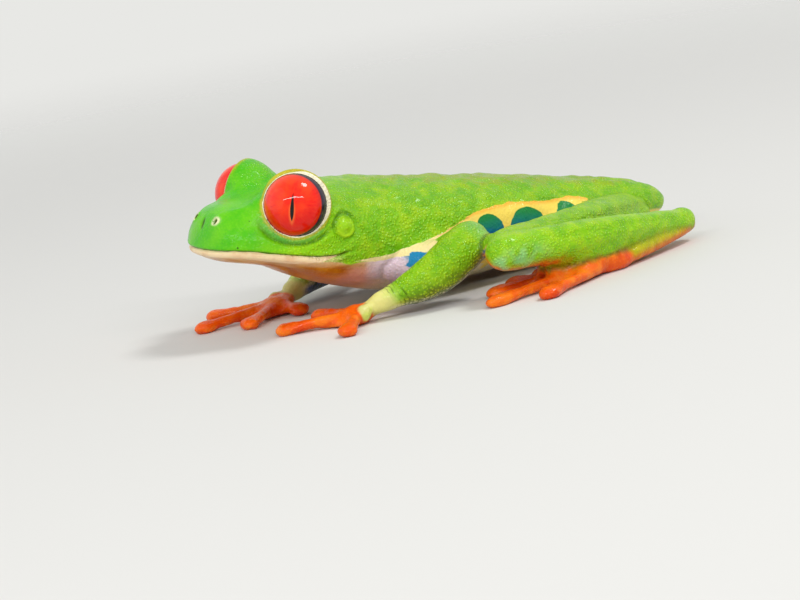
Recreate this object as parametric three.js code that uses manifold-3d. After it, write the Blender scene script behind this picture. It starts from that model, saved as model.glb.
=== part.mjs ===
// A red-eyed tree frog, life size, crouching on a flat floor with its head raised.
// Millimetres. The frog faces -Y, its left side is +X, and it rests on the plane Z = 0.
// Places on the body are given as u (back from the snout's tip), v (to the left) and w (up), along the
// body's own axis, which is pitched nose up and leans a little to the left.
import * as THREE from 'three';
import { mergeVertices } from 'three/addons/utils/BufferGeometryUtils.js';
import Module from 'manifold-3d';

const wasm = await Module();
wasm.setup();
const { degToRad, clamp } = THREE.MathUtils;
const vec = (x, y, z) => new THREE.Vector3(x, y, z);

// ---- driving dimensions -------------------------------------------------------------------------
const bodyLength = 62;                   // from the snout's tip to the vent
const bodyPitch = degToRad(12.2);        // the back slopes down to the rear by this
const bodyLean = degToRad(3.4);          // the left side is lower by this
const snoutHeight = 11.3;                // the snout's tip above the floor
const neckStation = 16.5;                // where the head is parted from the trunk
const gap = 0.3;                         // the thin cut between two pieces
const mouth = { level: 0.2, fall: degToRad(2) };
const eye = {
  u: 9.2, v: 6.5, w: 5.45, radius: 3.6, clearance: 0.13, forward: degToRad(33), up: degToRad(4),
};
const lid = { ring: 3.88, thickness: 0.3, along: 0.6, opening: 3.8, flare: 8, depth: 3.6, back: 0.15 };
const brow = { radius: 4.02, blend: 1.3 };
const nostril = { u: 1.4, v: 1.8, w: 3, radius: 0.3 };
const ear = { u: 14.5, v: 8.1, w: 3.25, radius: 1.2, depth: 0.55, clearance: 0.15 };

// The body's outline as [station, value]: half its width, the back's height, the belly's height, the
// height of its widest line, and how square it is above and below that line (2 is an ellipse).
const halfWidth = [[0, 4.3], [2, 5.5], [5, 6.8], [9, 8], [12.5, 8.65], [15, 8.8], [19, 8.5], [25, 8.5],
  [31, 8.7], [38, 7.9], [45, 6.6], [51, 5.3], [57, 4], [62, 2.6]];
const backHeight = [[0, 3.4], [2, 4.4], [5, 5.4], [9, 6.6], [13, 7.6], [18, 8.05], [26, 8.25], [36, 8.4],
  [46, 8.3], [54, 8], [62, 7.4]];
const bellyHeight = [[0, -1.2], [4, -1.5], [8, -1.9], [12, -3.2], [16, -4.1], [22, -4.9], [28, -4.6],
  [34, -3.4], [42, -1.4], [50, 0.8], [57, 2.7], [62, 3.8]];
const widestHeight = [[0, 0.2], [12, -0.1], [16, 0.4], [22, 0.7], [32, 1.2], [42, 2.6], [52, 4.2],
  [62, 5.6]];
const backPower = [[0, 2.4], [10, 2.3], [20, 2.1], [62, 2]];
const bellyPower = [[0, 2.5], [12, 2.3], [24, 2.1], [62, 2]];
const tipRound = { snout: 2.5, rump: 4 };

// ---- helpers ------------------------------------------------------------------------------------
// A point of the body in the floor's axes.
function at(u, v, w) {
  const across = v * Math.cos(bodyLean) + w * Math.sin(bodyLean);
  const above = w * Math.cos(bodyLean) - v * Math.sin(bodyLean);
  return vec(across, u * Math.cos(bodyPitch) + above * Math.sin(bodyPitch),
    snoutHeight - u * Math.sin(bodyPitch) + above * Math.cos(bodyPitch));
}

// A smooth function through a few [station, value] pairs.
function profile(pairs) {
  const slope = (k) => {
    const before = pairs[Math.max(k - 1, 0)];
    const after = pairs[Math.min(k + 1, pairs.length - 1)];
    return (after[1] - before[1]) / (after[0] - before[0]);
  };
  return (station) => {
    const x = clamp(station, pairs[0][0], pairs.at(-1)[0]);
    const i = Math.max(0, pairs.findIndex((pair) => pair[0] >= x) - 1);
    const [x0, y0] = pairs[i];
    const [x1, y1] = pairs[i + 1];
    const step = x1 - x0;
    const t = (x - x0) / step;
    const rise = t * t * (3 - 2 * t);
    return y0 + (y1 - y0) * rise + (t * (1 - t) ** 2 * slope(i) - t * t * (1 - t) * slope(i + 1)) * step;
  };
}

// How far a rounded tip has opened at a distance from its end, from 0 to 1.
const opening = (distance, reach) => Math.sqrt(1 - (1 - clamp(distance / reach, 0, 1)) ** 2);

// The smaller of two numbers, with the corner between them rounded off.
function smoothMin(a, b, reach) {
  const near = Math.max(reach - Math.abs(a - b), 0) / reach;
  return Math.min(a, b) - (near * near * reach) / 4;
}

// A closed surface through rings of points, from a first point to a last one.
function loft(rings, first, last) {
  const count = rings[0].length;
  const end = rings.length * count + 1;
  const index = [];
  const place = (ring, k) => 1 + ring * count + (k % count);
  for (let k = 0; k < count; k += 1) {
    index.push(0, place(0, k + 1), place(0, k));
    index.push(end, place(rings.length - 1, k), place(rings.length - 1, k + 1));
    for (let ring = 0; ring < rings.length - 1; ring += 1) {
      index.push(place(ring, k), place(ring, k + 1), place(ring + 1, k));
      index.push(place(ring, k + 1), place(ring + 1, k + 1), place(ring + 1, k));
    }
  }
  return new THREE.BufferGeometry().setFromPoints([first, ...rings.flat(), last]).setIndex(index);
}

// A closed geometry as a solid to join and cut, turned right side out if need be.
function solid(geometry) {
  const bare = geometry.clone();
  bare.deleteAttribute('normal');
  bare.deleteAttribute('uv');
  const merged = mergeVertices(bare, 1e-4);
  const numProp = 3;
  const vertProperties = new Float32Array(merged.attributes.position.array);
  const triVerts = new Uint32Array(merged.index.array);
  const made = new wasm.Manifold(new wasm.Mesh({ numProp, vertProperties, triVerts }));
  if (made.volume() > 0) return made;
  for (let i = 0; i < triVerts.length; i += 3) triVerts.subarray(i, i + 2).reverse();
  return new wasm.Manifold(new wasm.Mesh({ numProp, vertProperties, triVerts }));
}

function geometryOf(made) {
  const mesh = made.getMesh();
  return new THREE.BufferGeometry()
    .setAttribute('position', new THREE.BufferAttribute(new Float32Array(mesh.vertProperties), 3))
    .setIndex(new THREE.BufferAttribute(new Uint32Array(mesh.triVerts), 1));
}

const largest = (made) => made.decompose().sort((a, b) => b.volume() - a.volume())[0];
const joined = (made) => made.reduce((whole, one) => whole.add(one));

// A geometry drawn in u, v and w, set on the body.
function onBody(geometry) {
  const places = geometry.attributes.position;
  for (let i = 0; i < places.count; i += 1) {
    const { x, y, z } = at(places.getX(i), places.getY(i), places.getZ(i));
    places.setXYZ(i, x, y, z);
  }
  return solid(geometry);
}

// ---- the body: head, lower jaw and trunk as one surface -----------------------------------------
const widthAt = profile(halfWidth);
const backAt = profile(backHeight);
const bellyAt = profile(bellyHeight);
const widestAt = profile(widestHeight);
const backPowerAt = profile(backPower);
const bellyPowerAt = profile(bellyPower);

// About how far a place lies outside the body, less than 0 inside it. The brows swell round the eyes.
function outside(u, v, w) {
  const open = opening(u, tipRound.snout) * opening(bodyLength - u, tipRound.rump);
  const widest = widestAt(u);
  const width = Math.max(0.02, widthAt(u) * open);
  const above = w > widest;
  const height = Math.max(0.02, (above ? backAt(u) - widest : widest - bellyAt(u)) * open);
  const power = above ? backPowerAt(u) : bellyPowerAt(u);
  const reach = ((Math.abs(v) / width) ** power + (Math.abs(w - widest) / height) ** power) ** (1 / power);
  const toEye = Math.hypot(u - eye.u, Math.abs(v) - eye.v, w - eye.w) - brow.radius;
  return smoothMin((reach - 1) * Math.min(width, height), toEye, brow.blend);
}

// The body's surface round one station, moved outwards by grow: a walk inwards, then a search by halves.
function bodyRing(u, sides, grow) {
  const middle = widestAt(u);
  const [start, stride, halvings] = [16, 0.25, 16];
  return Array.from({ length: sides }, (_, k) => {
    const turn = ((k + 0.5) / sides) * 2 * Math.PI;
    const [c, s] = [Math.cos(turn), Math.sin(turn)];
    let far = start;
    while (far > 0 && outside(u, far * c, middle + far * s) > 0) far -= stride;
    let near = far;
    far += stride;
    for (let step = 0; step < halvings; step += 1) {
      const half = (near + far) / 2;
      if (outside(u, half * c, middle + half * s) > 0) far = half;
      else near = half;
    }
    return at(u, (near + grow) * c, middle + (near + grow) * s);
  });
}

// A length of the body. Its rings stand closer together towards the snout and the rump.
function body(from, to, rings, sides, grow = 0) {
  const stations = Array.from({ length: rings + 1 }, (_, i) => {
    if (from > 0) return to - (to - from) * (1 - Math.sin((i / (rings + 0.3)) * Math.PI / 2));
    const share = (i + 0.35) / (rings + 0.35);
    return to * (0.55 * share + 0.45 * (1 - Math.cos(share * Math.PI / 2)));
  });
  return solid(loft(stations.map((u) => bodyRing(u, sides, grow)),
    at(from - grow, 0, widestAt(from)), at(to + grow, 0, widestAt(to))));
}

// ---- a rounded limb along a curve ---------------------------------------------------------------
// sizes is [share of the length, half the width, half the height], and ends is how long each rounded tip
// is for its width.
function sweep({ path, sizes, sides = 9, rings = 10, ends = [1, 1] }, grow = 0) {
  const curve = new THREE.CatmullRomCurve3(path, false, 'centripetal');
  const length = curve.getLength();
  const acrossAt = profile(sizes.map(([share, across]) => [share, across]));
  const liftAt = profile(sizes.map(([share, , lift]) => [share, lift]));
  const made = Array.from({ length: rings + 1 }, (_, i) => {
    const even = (i + 0.25) / (rings + 0.5);
    const share = even - 0.1 * Math.sin(even * 2 * Math.PI);
    const tangent = curve.getTangentAt(share);
    const side = new THREE.Vector3().crossVectors(tangent, vec(0, 0, 1)).normalize();
    const lift = new THREE.Vector3().crossVectors(side, tangent);
    const open = opening(share * length, ends[0] * acrossAt(0))
      * opening((1 - share) * length, ends[1] * acrossAt(1));
    const outwards = share < 0.5 ? -1 : 1;
    const middle = curve.getPointAt(share).addScaledVector(tangent, outwards * grow * (1 - open));
    return Array.from({ length: sides }, (__, k) => {
      const turn = ((k + 0.5) / sides) * 2 * Math.PI;
      return middle.clone()
        .addScaledVector(side, (acrossAt(share) * open + grow) * Math.cos(turn))
        .addScaledVector(lift, (liftAt(share) * open + grow) * Math.sin(turn));
    });
  });
  const first = curve.getPointAt(0).addScaledVector(curve.getTangentAt(0), -grow);
  const last = curve.getPointAt(1).addScaledVector(curve.getTangentAt(1), grow);
  return solid(loft(made, first, last));
}

// ---- hands and feet -----------------------------------------------------------------------------
const digit = { width: 0.68, height: 0.64, padWidth: 1.42, padHeight: 0.8, padLength: 2.8 };
const digitFall = [[0, 1.1], [0.35, 0.98], [0.7, 0.76], [1, 0.52]];   // height along a digit
const web = { depth: 0.55, above: 0.2 };

// Where a digit runs: its angle is from straight ahead, outwards positive.
function digitPlace(hand, one, share) {
  const heading = degToRad(one.angle + (one.bend ?? 0) * share) * hand.side;
  const reach = one.length * share;
  return vec(hand.palm.x + Math.sin(heading) * reach, hand.palm.y - Math.cos(heading) * reach, 0);
}

function digitSolid(hand, one) {
  const path = digitFall.map(([share, height]) => digitPlace(hand, one, share).setZ(height * hand.scale));
  const padStart = 1 - (digit.padLength * hand.scale) / one.length;
  const padFull = (1 + padStart) / 2;
  const [width, height] = [digit.width * hand.scale, digit.height * hand.scale];
  const [padWidth, padHeight] = [digit.padWidth * hand.scale, digit.padHeight * hand.scale];
  return sweep({
    path,
    sizes: [[0, width * 1.2, height * 1.2], [padStart * 0.6, width, height],
      [padStart, width * 0.95, height * 0.9], [padFull, padWidth, padHeight], [1, padWidth, padHeight]],
    sides: 6,
    rings: 6,
  });
}

// The web is a thin sheet from the palm, scalloped between the digits.
function webSolid(hand) {
  const outline = new THREE.Shape();
  const flat = (one, share) => {
    const { x, y } = digitPlace(hand, one, share);
    return new THREE.Vector2(x, y);
  };
  outline.moveTo(hand.palm.x, hand.palm.y);
  hand.digits.forEach((one, k) => {
    const edge = flat(one, hand.web);
    if (k === 0) outline.lineTo(edge.x, edge.y);
    else {
      const dip = flat(hand.digits[k - 1], hand.web * 0.5).lerp(flat(one, hand.web * 0.5), 0.5);
      outline.quadraticCurveTo(dip.x, dip.y, edge.x, edge.y);
    }
  });
  outline.closePath();
  const options = { depth: web.depth, bevelEnabled: false, curveSegments: 3 };
  return solid(new THREE.ExtrudeGeometry(outline, options).translate(0, 0, web.above));
}

// A hand or foot: a low palm, its web and its digits in one piece, clear of the limb that carries it.
function handSolid(hand, limbs) {
  const palm = new THREE.SphereGeometry(1, 10, 6).scale(...hand.palmSize).rotateZ(hand.palmTurn);
  palm.translate(hand.palm.x, hand.palm.y, 1);
  const made = joined([solid(palm), webSolid(hand), ...hand.digits.map((one) => digitSolid(hand, one))]);
  return largest(limbs.reduce((left, limb) => left.subtract(limb), made));
}

// ---- where every joint is -----------------------------------------------------------------------
const arms = {
  left: {
    side: 1,
    shoulder: at(20.5, 6.2, -2.3),
    elbow: vec(13, 29.9, 7.6),
    forearmMiddle: vec(12.9, 22.6, 3.9),
    wrist: vec(10.7, 14.8, 1.6),
    palm: vec(9.7, 13.8, 0),
    palmTurn: 0.7,
    digits: [{ angle: -126, length: 5.6 }, { angle: -90, length: 8.6, bend: 8 },
      { angle: -27, length: 9.4, bend: -3 }, { angle: 60, length: 8, bend: -8 }],
  },
  right: {
    side: -1,
    shoulder: at(20.5, -6.2, -2.3),
    elbow: vec(-13.6, 28.6, 6.4),
    forearmMiddle: vec(-12.9, 22.4, 4),
    wrist: vec(-9, 14.2, 1.6),
    palm: vec(-8.3, 12.7, 0),
    palmTurn: -0.4,
    digits: [{ angle: -100, length: 5.4 }, { angle: -44, length: 9, bend: 6 },
      { angle: -4, length: 11, bend: 3 }, { angle: 40, length: 9, bend: 4 }],
  },
};
const handSize = { scale: 1, web: 0.5, palmSize: [1.9, 2, 1.25] };
for (const arm of Object.values(arms)) Object.assign(arm, handSize);

const legs = {
  left: {
    side: 1,
    hip: at(57.2, 1.8, 4),
    thighMiddle: vec(12.4, 41, 4.8),
    knee: vec(19.4, 26.2, 5.6),
    shankMiddle: vec(17.6, 42.4, 4.5),
    heel: vec(10.6, 59, 2.4),
    tarsusMiddle: vec(14.2, 51.4, 1.7),
    palm: vec(16.8, 43.6, 0),
    palmTurn: 0.2,
    digits: [{ angle: -36, length: 9.6 }, { angle: -21, length: 12.8, bend: 2 },
      { angle: -5, length: 16.2 }, { angle: 11, length: 19.4 }, { angle: 30, length: 15.6, bend: -3 }],
  },
  right: {
    side: -1,
    hip: at(57.2, -1.8, 4),
    thighMiddle: vec(-12.8, 41.4, 5.1),
    knee: vec(-20.2, 27, 6),
    shankMiddle: vec(-18.4, 43, 4.7),
    heel: vec(-11.2, 59.4, 2.4),
    tarsusMiddle: vec(-14.9, 51.8, 1.7),
    palm: vec(-17.6, 44.2, 0),
    palmTurn: -0.2,
    digits: [{ angle: -33, length: 9.6 }, { angle: -18, length: 12.8, bend: 2 },
      { angle: -2, length: 16.2 }, { angle: 14, length: 19.4 }, { angle: 33, length: 15.6, bend: -3 }],
  },
};
const footSize = { scale: 1.02, web: 0.62, palmSize: [1.9, 3, 1.2] };
for (const leg of Object.values(legs)) Object.assign(leg, footSize);

// ---- the pieces ---------------------------------------------------------------------------------
const pieces = {};

// A shape drawn along +Z, turned to look the way an eye does and moved out from the eye's middle.
function onEye(geometry, side, along) {
  const level = Math.cos(eye.up);
  const middle = at(eye.u, eye.v * side, eye.w);
  const ahead = at(eye.u - Math.sin(eye.forward) * level, (eye.v + Math.cos(eye.forward) * level) * side,
    eye.w + Math.sin(eye.up));
  const axis = ahead.sub(middle).normalize();
  geometry.applyQuaternion(new THREE.Quaternion().setFromUnitVectors(vec(0, 0, 1), axis));
  const { x, y, z } = middle.addScaledVector(axis, along);
  return solid(geometry.translate(x, y, z));
}

// Head and lower jaw: the body's front with a lid ring and a seat for each eye, an ear disc and a
// nostril on each side, parted along the mouth.
let head = body(0, neckStation - gap / 2, 14, 26);
for (const [name, side] of [['left', 1], ['right', -1]]) {
  const front = new THREE.CylinderGeometry(lid.flare, lid.opening, lid.depth, 18, 1).rotateX(Math.PI / 2);
  const ring = new THREE.TorusGeometry(lid.ring, lid.thickness, 4, 18);
  const socket = new THREE.SphereGeometry(eye.radius + eye.clearance, 16, 10).rotateX(Math.PI / 2);
  const disc = (extra) => onBody(new THREE.SphereGeometry(1, 12, 6)
    .scale(ear.radius + extra, ear.depth + extra, ear.radius + extra)
    .translate(ear.u, ear.v * side, ear.w));
  const pit = new THREE.SphereGeometry(nostril.radius, 6, 4);
  pieces[`eye_${name}`] = onEye(new THREE.SphereGeometry(eye.radius, 16, 10).rotateX(Math.PI / 2), side, 0);
  pieces[`ear_${name}`] = disc(0);
  head = head
    .add(onEye(new THREE.SphereGeometry(brow.radius, 16, 10).rotateX(Math.PI / 2), side, 0))
    .subtract(onEye(front, side, lid.along + lid.back + lid.depth / 2))
    .add(onEye(ring, side, lid.along))
    .subtract(onEye(socket, side, 0))
    .subtract(disc(ear.clearance))
    .subtract(onBody(pit.translate(nostril.u, nostril.v * side, nostril.w)));
}
const half = 40;
const mouthSide = (up) => onBody(new THREE.BoxGeometry(2 * half, 2 * half, half)
  .translate(0, 0, (gap / 2 + half / 2) * up)
  .rotateY(mouth.fall)
  .translate(0, 0, mouth.level));
pieces.head = head.intersect(mouthSide(1));
pieces.lower_jaw = head.intersect(mouthSide(-1));
pieces.trunk = body(neckStation + gap / 2, bodyLength, 16, 22);
const bodyRoom = body(0, bodyLength, 32, 24, gap);

for (const [name, arm] of Object.entries(arms)) {
  const forearm = {
    path: [arm.elbow, arm.forearmMiddle, arm.wrist],
    sizes: [[0, 2.3, 2.4], [0.3, 2.4, 2.75], [0.6, 1.95, 2.25], [0.8, 1.45, 1.5], [1, 1.3, 1.15]],
  };
  const upperArmMiddle = arm.shoulder.clone().lerp(arm.elbow, 0.5).add(vec(0.7 * arm.side, 0, -0.5));
  const upperArm = {
    path: [arm.shoulder, upperArmMiddle, arm.elbow],
    sizes: [[0, 1.9, 1.9], [0.5, 1.7, 1.8], [1, 1.9, 2]],
    rings: 6,
    sides: 8,
  };
  const forearmRoom = sweep(forearm, gap);
  pieces[`upper_arm_${name}`] = largest(sweep(upperArm).subtract(bodyRoom).subtract(forearmRoom));
  pieces[`forearm_${name}`] = largest(sweep(forearm).subtract(bodyRoom));
  pieces[`hand_${name}`] = handSolid(arm, [forearmRoom]);
}

for (const [name, leg] of Object.entries(legs)) {
  const thigh = {
    path: [leg.hip, leg.thighMiddle, leg.knee.clone().add(vec(-1.4 * leg.side, 1.2, 0.4))],
    sizes: [[0, 2.9, 2.8], [0.3, 3, 3.1], [0.65, 2.3, 2.5], [1, 1.9, 2]],
    ends: [0.8, 1],
  };
  const shank = {
    path: [leg.knee, leg.shankMiddle, leg.heel],
    sizes: [[0, 2.1, 2.1], [0.3, 2.05, 2.2], [0.6, 1.7, 1.8], [0.9, 1.4, 1.4], [1, 1.5, 1.5]],
  };
  const tarsus = {
    path: [leg.heel, leg.tarsusMiddle, leg.palm.clone().add(vec(0, 1.6, 1.3))],
    sizes: [[0, 1.4, 1.35], [0.5, 1.3, 1.25], [1, 1.4, 1.1]],
    rings: 8,
    sides: 8,
    ends: [1, 0.7],
  };
  const shankRoom = sweep(shank, gap);
  const tarsusRoom = sweep(tarsus, gap);
  pieces[`thigh_${name}`] = largest(sweep(thigh).subtract(bodyRoom).subtract(shankRoom));
  pieces[`shank_${name}`] = sweep(shank);
  pieces[`tarsus_${name}`] = largest(sweep(tarsus).subtract(shankRoom));
  pieces[`foot_${name}`] = handSolid(leg, [tarsusRoom, shankRoom]);
}

// ---- the frog: every piece is trimmed flat at the floor, and the origin is under its middle -------
const colours = {
  head: 0x5fb916,
  ear: 0x57a81a,
  lower_jaw: 0xe8d9a8,
  trunk: 0x5fb916,
  eye: 0xd81e05,
  upper_arm: 0x6a78c8,
  forearm: 0x6cbb1e,
  hand: 0xf0680f,
  thigh: 0x68b81c,
  shank: 0x68b81c,
  tarsus: 0xe0a02c,
  foot: 0xf0680f,
};
const roughness = { eye: 0.05, skin: 0.4 };
const ground = 200;
const underFloor = solid(new THREE.BoxGeometry(ground, ground, ground).translate(0, 0, -ground / 2));
const frog = new THREE.Group();
for (const [name, made] of Object.entries(pieces)) {
  const kind = name.replace(/_(left|right)$/, '');
  const material = new THREE.MeshStandardMaterial({
    color: colours[kind],
    roughness: kind === 'eye' ? roughness.eye : roughness.skin,
    metalness: 0,
  });
  const mesh = new THREE.Mesh(geometryOf(largest(made.subtract(underFloor))), material);
  mesh.name = name;
  frog.add(mesh);
}
const middle = new THREE.Box3().setFromObject(frog).getCenter(vec(0, 0, 0));
for (const mesh of frog.children) mesh.geometry.translate(-middle.x, -middle.y, 0);

export default frog;
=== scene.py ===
import math
import bmesh
import bpy
import numpy as np
from mathutils import Matrix, Vector, noise
from mathutils.bvhtree import BVHTree


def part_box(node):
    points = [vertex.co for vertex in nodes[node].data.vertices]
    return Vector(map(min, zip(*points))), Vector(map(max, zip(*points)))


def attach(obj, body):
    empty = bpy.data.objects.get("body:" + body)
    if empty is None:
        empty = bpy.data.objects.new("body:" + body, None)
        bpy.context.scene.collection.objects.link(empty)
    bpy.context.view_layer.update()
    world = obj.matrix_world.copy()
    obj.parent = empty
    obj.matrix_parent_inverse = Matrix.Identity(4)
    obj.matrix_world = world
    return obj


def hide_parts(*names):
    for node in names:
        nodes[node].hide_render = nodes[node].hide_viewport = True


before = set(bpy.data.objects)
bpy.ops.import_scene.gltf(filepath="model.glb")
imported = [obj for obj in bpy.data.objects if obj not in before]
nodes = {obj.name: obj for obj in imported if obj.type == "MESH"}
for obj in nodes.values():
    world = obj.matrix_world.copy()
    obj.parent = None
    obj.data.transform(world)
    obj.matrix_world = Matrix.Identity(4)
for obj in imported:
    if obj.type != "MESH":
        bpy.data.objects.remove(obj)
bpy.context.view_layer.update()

# A red-eyed tree frog, life size. The frame is in metres. The skin is shaped in millimetres, in the
# body's own axes: u back from the snout's tip, v to the left and w up, which are left-handed.
mm = 0.001
sides = {"left": 1, "right": -1}

# small helpers

def ease(value, low, high):  # 0 up to low, 1 from high, smooth between
    share = np.clip((value - low) / (high - low), 0, 1)
    return share * share * (3 - 2 * share)


def hill(distance, width):  # 1 in the middle, fading on both sides
    return np.exp(-((distance / width) ** 2))


def mixed(low, high, share):
    return low + (high - low) * np.clip(share, 0, 1)[:, None]


def colour(text):  # a hex colour as the linear values that Blender wants
    parts = np.array([int(text[k:k + 2], 16) / 255 for k in (0, 2, 4)])
    return np.where(parts <= 0.04045, parts / 12.92, ((parts + 0.055) / 1.055) ** 2.4)


def rgba(text):
    return (*colour(text), 1)


def linked(name, data):  # a new object, in the scene
    made = bpy.data.objects.new(name, data)
    bpy.context.scene.collection.objects.link(made)
    return made


def meshFrom(made, name):  # ends a bmesh as a mesh of that name
    mesh = bpy.data.meshes.new(name)
    made.to_mesh(mesh)
    made.free()
    return mesh


def triangleCount(mesh):
    return sum(len(face.vertices) - 2 for face in mesh.polygons)


def cadPoints(name):  # the corners of a solid, in the frame
    return np.array([vert.co for vert in nodes[name].data.vertices])


def polylineDistance(points, line):  # how far off a line, and how far along it, 0 to 1
    line = np.array(line, float)
    best = np.full(len(points), 1e9)
    along = np.zeros(len(points))
    lengths = np.linalg.norm(np.diff(line, axis=0), axis=1)
    total = lengths.sum()
    before = 0
    for start, end, length in zip(line[:-1], line[1:], lengths):
        way = (end - start) / length
        share = np.clip((points - start) @ way, 0, length)
        off = points - start - share[:, None] * way
        far = np.linalg.norm(off, axis=1)
        near = far < best
        best[near] = far[near]
        along[near] = (before + share[near]) / total
        before += length
    return best, along


# the body's own axes, from the middle of the two eyes

bodyAxes = {"pitch": 12.2, "lean": 3.4, "eyeBack": 9.2, "eyeUp": 5.45}  # degrees, and mm from the snout


def bodyMatrix():
    pitch, lean = math.radians(bodyAxes["pitch"]), math.radians(bodyAxes["lean"])
    back = Vector((0, math.cos(pitch), -math.sin(pitch)))
    above = Vector((0, math.sin(pitch), math.cos(pitch)))
    across = Vector((1, 0, 0))
    left = across * math.cos(lean) - above * math.sin(lean)
    up = across * math.sin(lean) + above * math.cos(lean)
    corners = [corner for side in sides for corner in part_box(f"eye_{side}")]
    origin = sum(corners, Vector()) / len(corners) / mm - back * bodyAxes["eyeBack"] - up * bodyAxes["eyeUp"]
    made = Matrix((back, left, up)).transposed().to_4x4()
    made.translation = origin
    return Matrix.Scale(mm, 4) @ made


frameFromBody = bodyMatrix()
bodyFromFrame = frameFromBody.inverted()


# eyes: where they look, and the shape of the lids round them

eyeShape = {
    "v": 6.5, "radius": 3.6, "forward": 33, "lookUp": 4,
    "opening": 77,  # degrees from the way it looks to the lid's edge
    "seat": 3.63,  # radius of the seat in the skin
    "crest": 4.06,  # the lid's highest line, from the eye's middle
    "crestFront": 3.92,  # the same at the front corner
    "rise": 8, "blend": 27,
}


def eyeAxes(side):  # middle, way it looks, towards the snout, up
    forward, lookUp = math.radians(eyeShape["forward"]), math.radians(eyeShape["lookUp"])
    middle = np.array([bodyAxes["eyeBack"], eyeShape["v"] * side, bodyAxes["eyeUp"]])
    level = math.cos(lookUp)
    look = np.array([-math.sin(forward) * level, math.cos(forward) * level * side, math.sin(lookUp)])
    up = np.array([0, 0, 1]) - look[2] * look
    up /= np.linalg.norm(up)
    ahead = np.cross(up, look) * side
    return middle, look, ahead, up


# the skin's rough form: every piece of flesh, swollen a little so that the thin cuts close

skinForm = {"firstVoxel": 0.26, "voxel": 0.33, "swell": 0.38, "fairing": 40, "mostTriangles": 192000}
heelPad = {"at": (0.5, 5.6, 2.3), "size": (2.4, 6.2, 0.9)}  # flesh between a foot and the shank on it


def fleshMesh():
    whole = bmesh.new()
    for node in nodes.values():
        whole.from_mesh(node.data)
    bmesh.ops.remove_doubles(whole, verts=whole.verts, dist=1e-6)
    for name, side in sides.items():
        low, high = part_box(f"tarsus_{name}")
        outer = high.x if side > 0 else low.x
        inward, ahead, above = heelPad["at"]
        place = Matrix.Translation((outer - inward * side * mm, low.y - ahead * mm, above * mm))
        size = Matrix.Diagonal([half * mm for half in heelPad["size"]] + [1])
        bmesh.ops.create_icosphere(whole, subdivisions=2, radius=1, matrix=place @ size)
    whole.transform(bodyFromFrame)
    return meshFrom(whole, "flesh")


def applied(mesh, kind, **settings):  # what one modifier makes of a mesh, in that mesh's place
    holder = linked("holder", mesh)
    modifier = holder.modifiers.new("shaping", kind)
    for name, value in settings.items():
        setattr(modifier, name, value)
    graph = bpy.context.evaluated_depsgraph_get()
    made = bpy.data.meshes.new_from_object(holder.evaluated_get(graph))
    bpy.data.objects.remove(holder)
    bpy.data.meshes.remove(mesh)
    return made


def remeshed(mesh, size):
    return applied(mesh, "REMESH", mode="VOXEL", voxel_size=size)


# moving and smoothing the skin's points as arrays

def pointsOf(mesh):
    points = np.empty(len(mesh.vertices) * 3, np.float32)
    mesh.vertices.foreach_get("co", points)
    return points.reshape(-1, 3).astype(float)


def setPoints(mesh, points):
    mesh.vertices.foreach_set("co", points.astype(np.float32).ravel())
    mesh.update()


def normalsOf(mesh):
    normals = np.empty(len(mesh.vertices) * 3, np.float32)
    mesh.vertex_normals.foreach_get("vector", normals)
    return normals.reshape(-1, 3).astype(float)


def edgesOf(mesh):
    edges = np.empty(len(mesh.edges) * 2, np.int32)
    mesh.edges.foreach_get("vertices", edges)
    return edges.reshape(-1, 2)


def smoothed(values, edges, weight, rounds):  # each value moves towards its neighbours' mean
    a, b = edges[:, 0], edges[:, 1]
    count = np.bincount(edges.ravel(), minlength=len(values))
    columns = values.reshape(len(values), -1).T.copy()
    weight = np.broadcast_to(weight, len(values))
    for _ in range(rounds):
        for column in columns:
            total = np.bincount(a, column[b], len(column)) + np.bincount(b, column[a], len(column))
            column += weight * (total / count - column)
    return columns.T.reshape(values.shape)


def faired(mesh, weight, rounds):  # smooths away the facets, then gives back the lost volume
    points, normals, edges = pointsOf(mesh), normalsOf(mesh), edgesOf(mesh)
    smooth = smoothed(points, edges, weight, rounds)
    lost = np.einsum("ij,ij->i", points - smooth, normals)
    smooth += normals * smoothed(lost, edges, 0.5, 2 * rounds)[:, None]
    setPoints(mesh, smooth)


def refined(mesh, chosen):  # halves the edges in a region
    made = bmesh.new()
    made.from_mesh(mesh)
    mask = chosen(pointsOf(mesh))
    made.verts.ensure_lookup_table()
    edges = [edge for edge in made.edges if mask[edge.verts[0].index] and mask[edge.verts[1].index]]
    bmesh.ops.subdivide_edges(made, edges=edges, cuts=1, use_grid_fill=True)
    bmesh.ops.triangulate(made, faces=[face for face in made.faces if len(face.verts) > 4])
    made.to_mesh(mesh)
    made.free()
    mesh.update()


def thinned(mesh, most):  # joins points where the surface is flattest
    triangles = triangleCount(mesh)
    made = applied(mesh, "DECIMATE", ratio=min(1.0, most / triangles))
    print("skin: thinned from", triangles, "to", len(made.polygons), "faces")
    return made


# which part of the frog each point belongs to

partForm = {  # how fast each part's facets are smoothed away, and how far its skin ends outside them, mm
    "body": (0.5, 0.08), "upper_arm": (0.2, 0.05), "forearm": (0.2, 0.05), "hand": (0.06, 0.08),
    "thigh": (0.25, 0.05), "shank": (0.2, 0.05), "tarsus": (0.12, 0.07), "foot": (0.06, 0.08),
}
parts = list(partForm)


def partOf(name):
    kind = name.replace("_left", "").replace("_right", "")
    return kind if kind in parts else "body"


def partTrees():
    trees = {}
    for name, node in nodes.items():
        made = bmesh.new()
        made.from_mesh(node.data)
        made.transform(bodyFromFrame)
        low = np.min([vert.co for vert in made.verts], axis=0)
        high = np.max([vert.co for vert in made.verts], axis=0)
        trees[name] = (BVHTree.FromBMesh(made), low, high)
        made.free()
    return trees


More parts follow.
